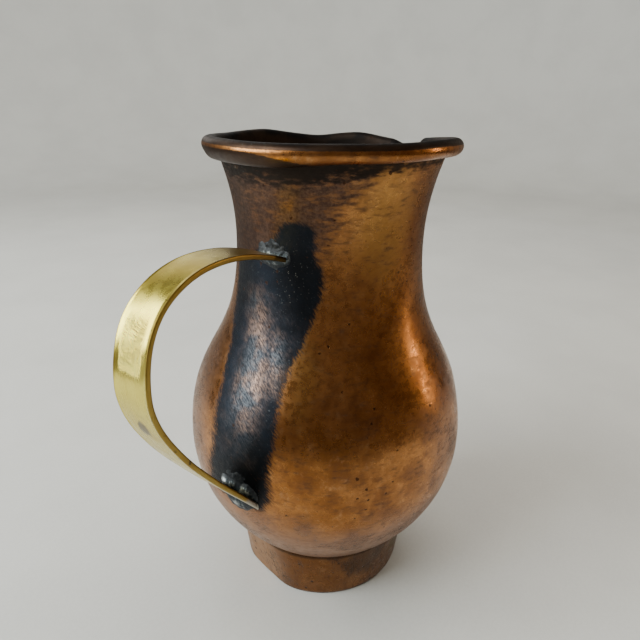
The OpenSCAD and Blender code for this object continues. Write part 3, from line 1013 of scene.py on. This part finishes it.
def foot_material(effects, colours):
    """The finish of the foot ring."""
    made, tree, shader = new_material("aged_copper_foot")
    place, _, patch, fine, level, colour, rough = aged_copper(tree, effects, colours)
    colour = tree.colour(0.62, colour, (0.10, 0.036, 0.008))
    # pale tan, partly a painted reflection of the window
    tan = tree.group(effects["broken"], mask=tree.mask("tan"), texture=patch, breakup=1.1, softness=0.4)
    colour = tree.colour(tree.math("MULTIPLY", tan, 0.75), colour, (0.40, 0.235, 0.13))
    dark = tree.group(effects["broken"], mask=tree.mask("tarnish"), texture=patch, breakup=1.4, softness=0.3)
    colour = tree.colour(tree.math("MULTIPLY", dark, 0.8), colour, (0.06, 0.028, 0.012))
    dull = tree.group(effects["broken"], mask=tree.mask("dull"), texture=patch, breakup=0.9, softness=0.3)
    colour = tree.colour(tree.math("MULTIPLY", dull, 0.7), colour, (0.14, 0.13, 0.085))
    rough = tree.blend(tree.math("MAXIMUM", tan, dull), rough, 0.46)
    # the ring is painted darker at its top under the bowl, at the table and on its inner face: partly grime,
    # partly painted shade
    grime_and_shade = tree.group(effects["broken"], mask=tree.mask("grime_and_shade"), texture=patch, breakup=0.9, softness=0.3)
    shade = tree.math("MAXIMUM", tree.math("MULTIPLY", grime_and_shade, 0.8),
                      tree.math("MULTIPLY", tree.mask("inside"), 0.6))
    colour = tree.colour(shade, colour, (0.035, 0.020, 0.012))
    rough = tree.blend(shade, rough, 0.58)
    pit = tree.group(effects["pits"], place=place, density=520.0, size=0.36, share=0.25)
    drag = tree.group(effects["brush"], place=place, twist=6.0, across=900.0, along=130.0)
    scratch = tree.group(effects["scratch"], mark=drag, where=patch, width=0.07, share=0.50)
    pit = tree.math("MAXIMUM", pit, tree.math("MULTIPLY", scratch, 0.7))
    colour = tree.colour(tree.math("MULTIPLY", pit, 0.8), colour, (0.035, 0.018, 0.010))
    colour = tree.colour(tree.ramp(drag, 0.55, 0.75, 0.0, 0.4), colour, (0.06, 0.030, 0.014))
    rough = tree.math("ADD", rough, tree.ramp(fine, 0.3, 0.7, -0.04, 0.08))
    bump = tree.math("ADD", tree.math("MULTIPLY", fine, 0.15), tree.math("MULTIPLY", level, 0.35))
    bump = tree.math("SUBTRACT", bump, tree.math("MULTIPLY", pit, 0.9))
    finish_shader(tree, shader, colour, rough, 0.95, bump, 0.00006)
    return made


def brass_material(effects, colours):
    """The finish of the strap: polished brass, with brown edges and spots, and painted shade on its inner
    face.
    """
    made, tree, shader = new_material("polished_brass")
    place = tree.place()
    cloud = tree.noise(place, 60.0, detail=4.0, rough=0.6)
    patch = tree.noise(place, 230.0, detail=5.0, rough=0.6)
    fine = tree.noise(place, 1100.0, detail=3.0)
    drawn = tree.group(effects["brush"], place=place, twist=0.0, across=500.0, along=45.0)
    hatch_mark = tree.group(effects["brush"], place=place, twist=70.0, across=3000.0, along=240.0)
    deep = tuple(c * s for c, s in zip(colours.brass, (0.74, 0.66, 0.5)))
    colour = tree.colour(tree.ramp(cloud, 0.35, 0.68), colours.brass, deep)
    run = tree.mask("run")
    near_neck = tree.ramp(run, 0.30, 0.05)
    colour = tree.colour(tree.math("MULTIPLY", near_neck, 0.75), colour, (0.30, 0.22, 0.09))
    edge = tree.group(effects["broken"], mask=tree.mask("edge"), texture=patch, breakup=0.8, softness=0.3)
    # brown edges, and the inner face toward the jug painted darker as shade
    edge_and_inner_shade = tree.math("MAXIMUM", tree.math("MULTIPLY", edge, 0.75),
                           tree.math("MULTIPLY", tree.mask("inner"), 0.35))
    colour = tree.colour(edge_and_inner_shade, colour, (0.21, 0.115, 0.035))
    hatched = tree.math("MULTIPLY", tree.ramp(run, 0.37, 0.40), tree.ramp(run, 0.49, 0.46))
    hatched = tree.math("MULTIPLY", hatched, tree.ramp(tree.math("ABSOLUTE", tree.mask("across")), 0.75, 0.5))
    scratch = tree.group(effects["scratch"], mark=hatch_mark, where=0.9, width=0.075, share=0.6)
    hatch = tree.math("MULTIPLY", scratch, hatched)
    long_scratch = tree.group(effects["scratch"], mark=drawn, where=patch, width=0.05, share=0.42)
    spots = tree.group(effects["pits"], place=place, density=560.0, size=0.40, share=0.45)
    low = tree.math("MULTIPLY", tree.ramp(run, 0.56, 0.62), tree.ramp(run, 0.86, 0.78))
    spots = tree.math("MULTIPLY", spots, tree.math("MAXIMUM", low, 0.15))
    stain = tree.group(effects["broken"], mask=tree.mask("stain"), texture=patch, breakup=1.6, softness=0.18)
    marks = tree.math("MAXIMUM", tree.math("MAXIMUM", hatch, spots), stain)
    marks = tree.math("MAXIMUM", marks, tree.math("MULTIPLY", long_scratch, 0.4))
    colour = tree.colour(tree.math("MULTIPLY", marks, 0.85), colour, (0.08, 0.055, 0.025))
    # the strap's lower end is painted pale grey: partly tinning, partly a painted reflection of the pale
    # floor
    tinned_and_reflection = tree.group(effects["broken"], mask=tree.ramp(run, 0.875, 0.985), texture=patch, breakup=0.8,
                        softness=0.3)
    colour = tree.colour(tree.math("MULTIPLY", tinned_and_reflection, 0.8), colour, (0.47, 0.46, 0.42))
    rough = tree.ramp(cloud, 0.3, 0.7, 0.22, 0.32)
    rough = tree.blend(near_neck, rough, 0.30)
    rough = tree.blend(tree.math("MAXIMUM", edge_and_inner_shade, tinned_and_reflection), rough, 0.44)
    rough = tree.math("ADD", rough, tree.ramp(drawn, 0.3, 0.7, -0.03, 0.06))
    bump = tree.math("ADD", tree.math("MULTIPLY", drawn, 0.35), tree.math("MULTIPLY", fine, 0.08))
    bump = tree.math("SUBTRACT", bump, tree.math("MULTIPLY", marks, 0.35))
    finish_shader(tree, shader, colour, rough, 1.0, bump, 0.00004)
    return made


def solder_material(effects, colours):
    """Dull lumpy soft solder with dark flux left in its hollows."""
    made, tree, shader = new_material("soft_solder")
    place = tree.place()
    patch = tree.noise(place, 420.0, detail=5.0, rough=0.6)
    fine = tree.noise(place, 1600.0, detail=4.0, rough=0.6)
    cloud = tree.noise(place, 150.0, detail=4.0, rough=0.6)
    colour = tree.colour(tree.ramp(patch, 0.46, 0.66), (0.036, 0.045, 0.050), colours.solder)
    thin = tree.ramp(tree.mask("thick"), 1.3, 0.10)
    flux = tree.group(effects["broken"], mask=thin, texture=cloud, breakup=1.6, softness=0.35)
    colour = tree.colour(tree.math("MULTIPLY", flux, 0.9), colour, colours.soot)
    rough = tree.blend(flux, tree.ramp(patch, 0.3, 0.7, 0.50, 0.30), 0.55)
    metal = tree.blend(flux, 0.9, 0.45)
    bump = tree.math("ADD", patch, tree.math("MULTIPLY", fine, 0.3))
    finish_shader(tree, shader, colour, rough, metal, bump, 0.00025)
    return made


def iron_material(effects, colours):
    """Dark iron wire with rust."""
    made, tree, shader = new_material("dark_iron_wire")
    place = tree.place()
    patch = tree.noise(place, 500.0, detail=5.0, rough=0.6)
    drawn = tree.group(effects["brush"], place=place, twist=0.0, across=90.0, along=1800.0)
    rust = tree.group(effects["broken"], mask=0.45, texture=patch, breakup=1.6, softness=0.2)
    colour = tree.colour(rust, (0.055, 0.05, 0.047), (0.14, 0.052, 0.02))
    rough = tree.blend(rust, tree.ramp(drawn, 0.3, 0.7, 0.35, 0.5), 0.75)
    metal = tree.blend(rust, 0.9, 0.2)
    finish_shader(tree, shader, colour, rough, metal, patch, 0.00006)
    return made


# ---------------------------------------------------------------- stage, light and camera

CAMERA_PLACE = Vector((-0.12831, -0.08053, 0.15068))
CAMERA_TURN = math.radians(213)
CAMERA_DOWN, CAMERA_ROLL = 0.409737, 0.019836
CAMERA_LENS, CAMERA_SENSOR = 30.375, 36.0


def make_camera(scene):
    """The camera, looking down a little at the handle's side of the jug."""
    level_back = Vector((math.cos(CAMERA_TURN), math.sin(CAMERA_TURN), 0))
    right = Vector((0, 0, 1)).cross(level_back)
    back = level_back * math.cos(CAMERA_DOWN) + Vector((0, 0, math.sin(CAMERA_DOWN)))
    up = back.cross(right)
    rolled_right = right * math.cos(CAMERA_ROLL) + up * math.sin(CAMERA_ROLL)
    rolled_up = up * math.cos(CAMERA_ROLL) - right * math.sin(CAMERA_ROLL)
    data = bpy.data.cameras.new("camera")
    data.lens = CAMERA_LENS
    data.sensor_width = CAMERA_SENSOR
    data.clip_start = 0.01
    camera = bpy.data.objects.new("camera", data)
    camera.matrix_world = Matrix.Translation(CAMERA_PLACE) @ Matrix(
        (rolled_right, rolled_up, back)).transposed().to_4x4()
    scene.collection.objects.link(camera)
    scene.camera = camera


# name, turn, lift in degrees, distance, size, power in watts, colour, and whether the metal shows it
LIGHTS = [
    ("window", -36, 30, 0.85, (0.62, 0.80), 14.0, (0.95, 1.0, 0.98), True),
    ("doorway", 127, 14, 0.50, (0.016, 0.26), 0.42, (1.0, 0.76, 0.48), True),
    ("ceiling", 200, 76, 1.15, (1.1, 1.1), 9.0, (1.0, 0.93, 0.84), False),
    ("far_wall", 235, 30, 0.52, (0.50, 0.30), 0.5, (1.0, 0.98, 0.94), True)]


def soft_light(scene, name, turn, lift, distance, size, power, colour, mirrored):
    """A soft rectangular light that faces the jug. Unless mirrored, the metal doesn't show it."""
    middle = Vector((0, 0, 0.075))
    flat = distance * math.cos(math.radians(lift))
    place = around(turn, flat, middle.z + distance * math.sin(math.radians(lift)))
    data = bpy.data.lights.new(name, "AREA")
    data.shape = "RECTANGLE"
    data.size, data.size_y = size
    data.energy = power
    data.color = colour
    light = bpy.data.objects.new(name, data)
    light.location = place
    light.rotation_euler = (middle - place).to_track_quat("-Z", "Y").to_euler()
    light.visible_camera = False
    light.visible_glossy = mirrored
    scene.collection.objects.link(light)


def floor_material(colours):
    """The floor: pale, almost even."""
    made, tree, shader = new_material("pale_floor")
    place = tree.place()
    soft = tree.noise(place, 14.0, detail=5.0, rough=0.6)
    grain = tree.noise(place, 900.0, detail=3.0)
    darker = tuple(c * 0.93 for c in colours.floor)
    colour = tree.colour(tree.ramp(soft, 0.35, 0.7), colours.floor, darker)
    colour = tree.colour(tree.ramp(grain, 0.3, 0.7, 0.0, 0.10), colour, (0.75, 0.77, 0.76))
    tree.put(shader.inputs["Base Color"], colour)
    shader.inputs["Roughness"].default_value = 0.55
    # the underside is clear, so that the jug can be seen from below
    clear = tree.add("ShaderNodeBsdfTransparent")
    behind = tree.add("ShaderNodeNewGeometry").outputs["Backfacing"]
    both = tree.add("ShaderNodeMixShader", {0: behind, 1: shader.outputs["BSDF"], 2: clear.outputs[0]})
    tree.put(made.node_tree.get_output_node("ALL").inputs["Surface"], both.outputs[0])
    return made


FLOOR_RADIUS, SWEEP_RADIUS, SWEEP_BEND, SWEEP_HEIGHT = 0.32, 0.75, 0.35, 1.6


def build_floor(colours):
    """The floor round the jug, and the backdrop that it sweeps up into."""
    material = floor_material(colours)
    columns = 128
    rings = np.linspace(0, FLOOR_RADIUS, 6)
    section = np.stack([np.maximum(rings, 0.0001), np.zeros_like(rings)], axis=1)
    height, turn, radius = revolve(section, columns)
    floor = make_piece("floor", ring_points(height, turn, radius),
                       grid_faces(len(section), columns), material)
    bend = np.linspace(-math.pi / 2, 0, 24)
    curve = np.stack([SWEEP_RADIUS + SWEEP_BEND * np.cos(bend), SWEEP_BEND * (1 + np.sin(bend))], axis=1)
    start = np.array([[FLOOR_RADIUS, 0]])
    top = np.array([[SWEEP_RADIUS + SWEEP_BEND, SWEEP_HEIGHT]])
    section = np.concatenate([start, curve, top])
    height, turn, radius = revolve(section, columns)
    sweep = make_piece("backdrop", ring_points(height, turn, radius),
                       grid_faces(len(section), columns), material)
    sweep.visible_glossy = False


def build_room(scene):
    """The light of the room: dark on the camera's side, pale on the far side and above."""
    world = bpy.data.worlds.new("room")
    world.use_nodes = True
    scene.world = world
    tree = Tree(world.node_tree)
    way = tree.add("ShaderNodeTexCoord").outputs["Generated"]
    far_side = around(213, 0.94, 0.34)
    across = tree.add("ShaderNodeVectorMath", {0: way, 1: far_side}, operation="DOT_PRODUCT").outputs["Value"]
    warm_side = around(115, 1.0, 0.0)
    warm = tree.add("ShaderNodeVectorMath", {0: way, 1: warm_side}, operation="DOT_PRODUCT").outputs["Value"]
    colour = tree.colour(tree.ramp(across, -0.55, 0.75), (0.17, 0.135, 0.105), (0.19, 0.175, 0.15))
    colour = tree.colour(tree.ramp(warm, 0.35, 0.95, 0.0, 0.6), colour, (0.16, 0.105, 0.06))
    background = tree.add("ShaderNodeBackground", {"Color": colour, "Strength": 1.0})
    output = tree.add("ShaderNodeOutputWorld")
    tree.put(output.inputs["Surface"], background.outputs[0])


# ---------------------------------------------------------------- operators

MATERIAL_MAKERS = {
    "aged_copper_body": body_material, "aged_copper_foot": foot_material,
    "polished_brass": brass_material, "soft_solder": solder_material, "dark_iron_wire": iron_material}
EFFECT_MAKERS = {"brush": brushed_group, "broken": broken_group, "pits": pits_group, "scratch": scratch_group}
EFFECTS = {}


def material_for(context, name):
    """A material by name. It is made the first time."""
    if not EFFECTS:
        EFFECTS.update({label: make() for label, make in EFFECT_MAKERS.items()})
    if name in bpy.data.materials:
        return bpy.data.materials[name]
    return MATERIAL_MAKERS[name](EFFECTS, context.scene.jug_colours)


class OBJECT_OT_jug_body(Operator):
    """Build the raised copper body with its rolled rim"""

    bl_idname = "object.jug_body"
    bl_label = "Copper body"

    def execute(self, context):
        piece = build_body(context.scene.jug_shape, material_for(context, "aged_copper_body"))
        hand_over(piece, "body")
        return {"FINISHED"}


class OBJECT_OT_jug_wire(Operator):
    """Build the iron wire inside the rolled rim"""

    bl_idname = "object.jug_wire"
    bl_label = "Rim wire"

    def execute(self, context):
        piece = build_wire(context.scene.jug_shape, material_for(context, "dark_iron_wire"))
        hand_over(piece, "rim_wire")
        return {"FINISHED"}


class OBJECT_OT_jug_foot(Operator):
    """Build the copper foot ring and the solder inside it"""

    bl_idname = "object.jug_foot"
    bl_label = "Foot ring"

    def execute(self, context):
        shape, foot = context.scene.jug_shape, context.scene.jug_foot
        ring = build_foot(shape, foot, material_for(context, "aged_copper_foot"))
        hand_over(ring, "foot_ring")
        solder = build_foot_solder(shape, foot, material_for(context, "soft_solder"))
        hand_over(solder, "foot_solder")
        return {"FINISHED"}


class OBJECT_OT_jug_strap(Operator):
    """Build the brass strap"""

    bl_idname = "object.jug_strap"
    bl_label = "Brass strap"

    def execute(self, context):
        scene = context.scene
        piece = build_strap(scene.jug_shape, scene.jug_strap, material_for(context, "polished_brass"))
        hand_over(piece, "handle")
        return {"FINISHED"}


class OBJECT_OT_jug_solder(Operator):
    """Build the solder at both ends of the strap"""

    bl_idname = "object.jug_solder"
    bl_label = "Handle solder"

    def execute(self, context):
        scene = context.scene
        material = material_for(context, "soft_solder")
        upper = build_upper_solder(scene.jug_shape, scene.jug_strap, material)
        hand_over(upper, "upper_solder")
        lower = build_lower_solder(scene.jug_shape, scene.jug_strap, material)
        hand_over(lower, "lower_solder")
        return {"FINISHED"}


class OBJECT_OT_jug_stage(Operator):
    """Build the floor, the light and the camera"""

    bl_idname = "object.jug_stage"
    bl_label = "Stage"

    def execute(self, context):
        scene = context.scene
        build_floor(scene.jug_colours)
        build_room(scene)
        for light in LIGHTS:
            soft_light(scene, *light)
        make_camera(scene)
        return {"FINISHED"}


class VIEW3D_PT_jug(Panel):
    """Lists the sizes and the builders of the jug"""

    bl_label = "Copper Jug"
    bl_space_type = "VIEW_3D"
    bl_region_type = "UI"
    bl_category = "Copper Jug"

    def draw(self, context):
        scene = context.scene
        for settings in (scene.jug_shape, scene.jug_foot, scene.jug_strap, scene.jug_colours):
            box = self.layout.box()
            for name in settings.bl_rna.properties.keys():
                if name not in {"rna_type", "name"}:
                    box.prop(settings, name)
        for operator in OPERATORS:
            self.layout.operator(operator.bl_idname)


SETTINGS = {"jug_shape": JugShape, "jug_foot": FootShape, "jug_strap": StrapShape, "jug_colours": JugColours}
OPERATORS = (OBJECT_OT_jug_body, OBJECT_OT_jug_wire, OBJECT_OT_jug_foot, OBJECT_OT_jug_strap,
             OBJECT_OT_jug_solder, OBJECT_OT_jug_stage)


def register():
    """Adds the settings, the operators and the panel."""
    for made in (*SETTINGS.values(), *OPERATORS, VIEW3D_PT_jug):
        bpy.utils.register_class(made)
    for name, made in SETTINGS.items():
        setattr(bpy.types.Scene, name, PointerProperty(type=made))


def unregister():
    """Takes away all that register adds."""
    for name in SETTINGS:
        delattr(bpy.types.Scene, name)
    for made in reversed((*SETTINGS.values(), *OPERATORS, VIEW3D_PT_jug)):
        bpy.utils.unregister_class(made)


def main():
    """Builds the jug and its stage."""
    register()
    bpy.ops.object.jug_body()
    bpy.ops.object.jug_wire()
    bpy.ops.object.jug_foot()
    bpy.ops.object.jug_strap()
    bpy.ops.object.jug_solder()
    bpy.ops.object.jug_stage()


if __name__ == "__main__":
    main()
